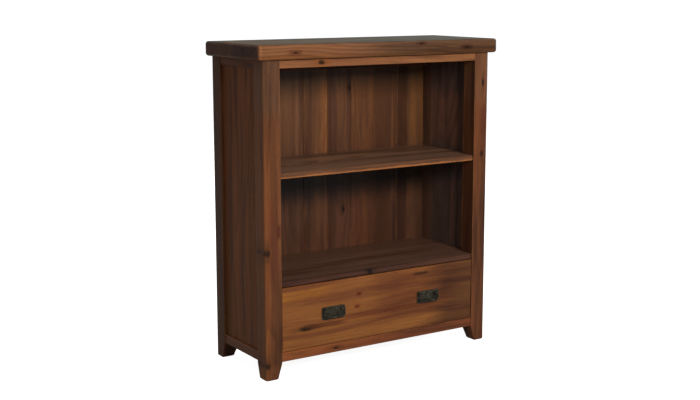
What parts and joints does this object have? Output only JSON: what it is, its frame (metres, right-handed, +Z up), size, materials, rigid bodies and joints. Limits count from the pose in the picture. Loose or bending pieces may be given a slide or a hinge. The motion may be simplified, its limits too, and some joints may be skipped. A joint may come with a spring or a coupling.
{
  "type": "bookcase with a bottom drawer",
  "caption": "Solid hardwood bookcase with two open bays over a wide dovetailed drawer with swinging bail pulls, on tapered feet.",
  "frame": {"origin": "on the floor, in the middle of the width and of the depth over the top slab", "axes": "+X to the viewer's right, +Y to the back, +Z up"},
  "size_m": [0.92, 0.36, 1.05],
  "materials": {
    "top_wood": "stained hardwood, satin lacquer",
    "frame_wood": "stained hardwood, satin lacquer",
    "panel_wood": "stained hardwood, satin lacquer",
    "back_wood": "stained hardwood, satin lacquer",
    "shelf_wood": "stained hardwood, satin lacquer",
    "drawer_front_wood": "stained hardwood, satin lacquer",
    "drawer_box_wood": "plain hardwood, thin lacquer",
    "inner_wood": "plain hardwood, unfinished",
    "black_iron": "black wax over forged iron",
    "fastener_steel": "zinc plated"
  },
  "bodies": {
    "case": {"top_board": "top_wood", "front_left_post": "frame_wood", "front_right_post": "frame_wood", "rear_left_post": "frame_wood", "rear_right_post": "frame_wood", "rear_left_foot_block": "frame_wood", "rear_right_foot_block": "frame_wood", "front_top_rail": "frame_wood", "front_bottom_rail": "frame_wood", "rear_top_rail": "frame_wood", "rear_bottom_rail": "frame_wood", "left_side_top_rail": "frame_wood", "left_side_bottom_rail": "frame_wood", "right_side_top_rail": "frame_wood", "right_side_bottom_rail": "frame_wood", "left_side_panel": "panel_wood", "right_side_panel": "panel_wood", "back_board_1": "back_wood", "back_board_2": "back_wood", "back_board_3": "back_wood", "back_board_4": "back_wood", "back_board_5": "back_wood", "back_board_6": "back_wood", "back_board_7": "back_wood", "back_board_8": "back_wood", "middle_shelf": "shelf_wood", "drawer_deck": "shelf_wood", "left_shelf_cleat": "inner_wood", "right_shelf_cleat": "inner_wood", "left_deck_cleat": "inner_wood", "right_deck_cleat": "inner_wood", "left_top_cleat": "inner_wood", "right_top_cleat": "inner_wood", "left_drawer_runner": "inner_wood", "right_drawer_runner": "inner_wood", "left_drawer_guide": "inner_wood", "right_drawer_guide": "inner_wood", "drawer_stops": "inner_wood"},
    "drawer": {"drawer_front": "drawer_front_wood", "drawer_left_side": "drawer_box_wood", "drawer_right_side": "drawer_box_wood", "drawer_back": "drawer_box_wood", "drawer_bottom": "drawer_box_wood", "left_pull_plate": "black_iron", "right_pull_plate": "black_iron", "left_pull_left_post": "black_iron", "left_pull_right_post": "black_iron", "right_pull_left_post": "black_iron", "right_pull_right_post": "black_iron", "pull_screws": "fastener_steel"},
    "left_bail": {"left_bail": "black_iron"},
    "right_bail": {"right_bail": "black_iron"}
  },
  "joints": [
    {"name": "drawer_slide", "type": "slide", "parent": "case", "child": "drawer", "axis": [0, -1, 0], "range_m": [0, 0.24]},
    {"name": "left_bail_swing", "type": "hinge", "parent": "drawer", "child": "left_bail", "pos_m": [-0.188, -0.1725, 0.198], "axis": [-1, 0, 0], "range_deg": [0, 170]},
    {"name": "right_bail_swing", "type": "hinge", "parent": "drawer", "child": "right_bail", "pos_m": [0.188, -0.1725, 0.198], "axis": [-1, 0, 0], "range_deg": [0, 170]}
  ]
}
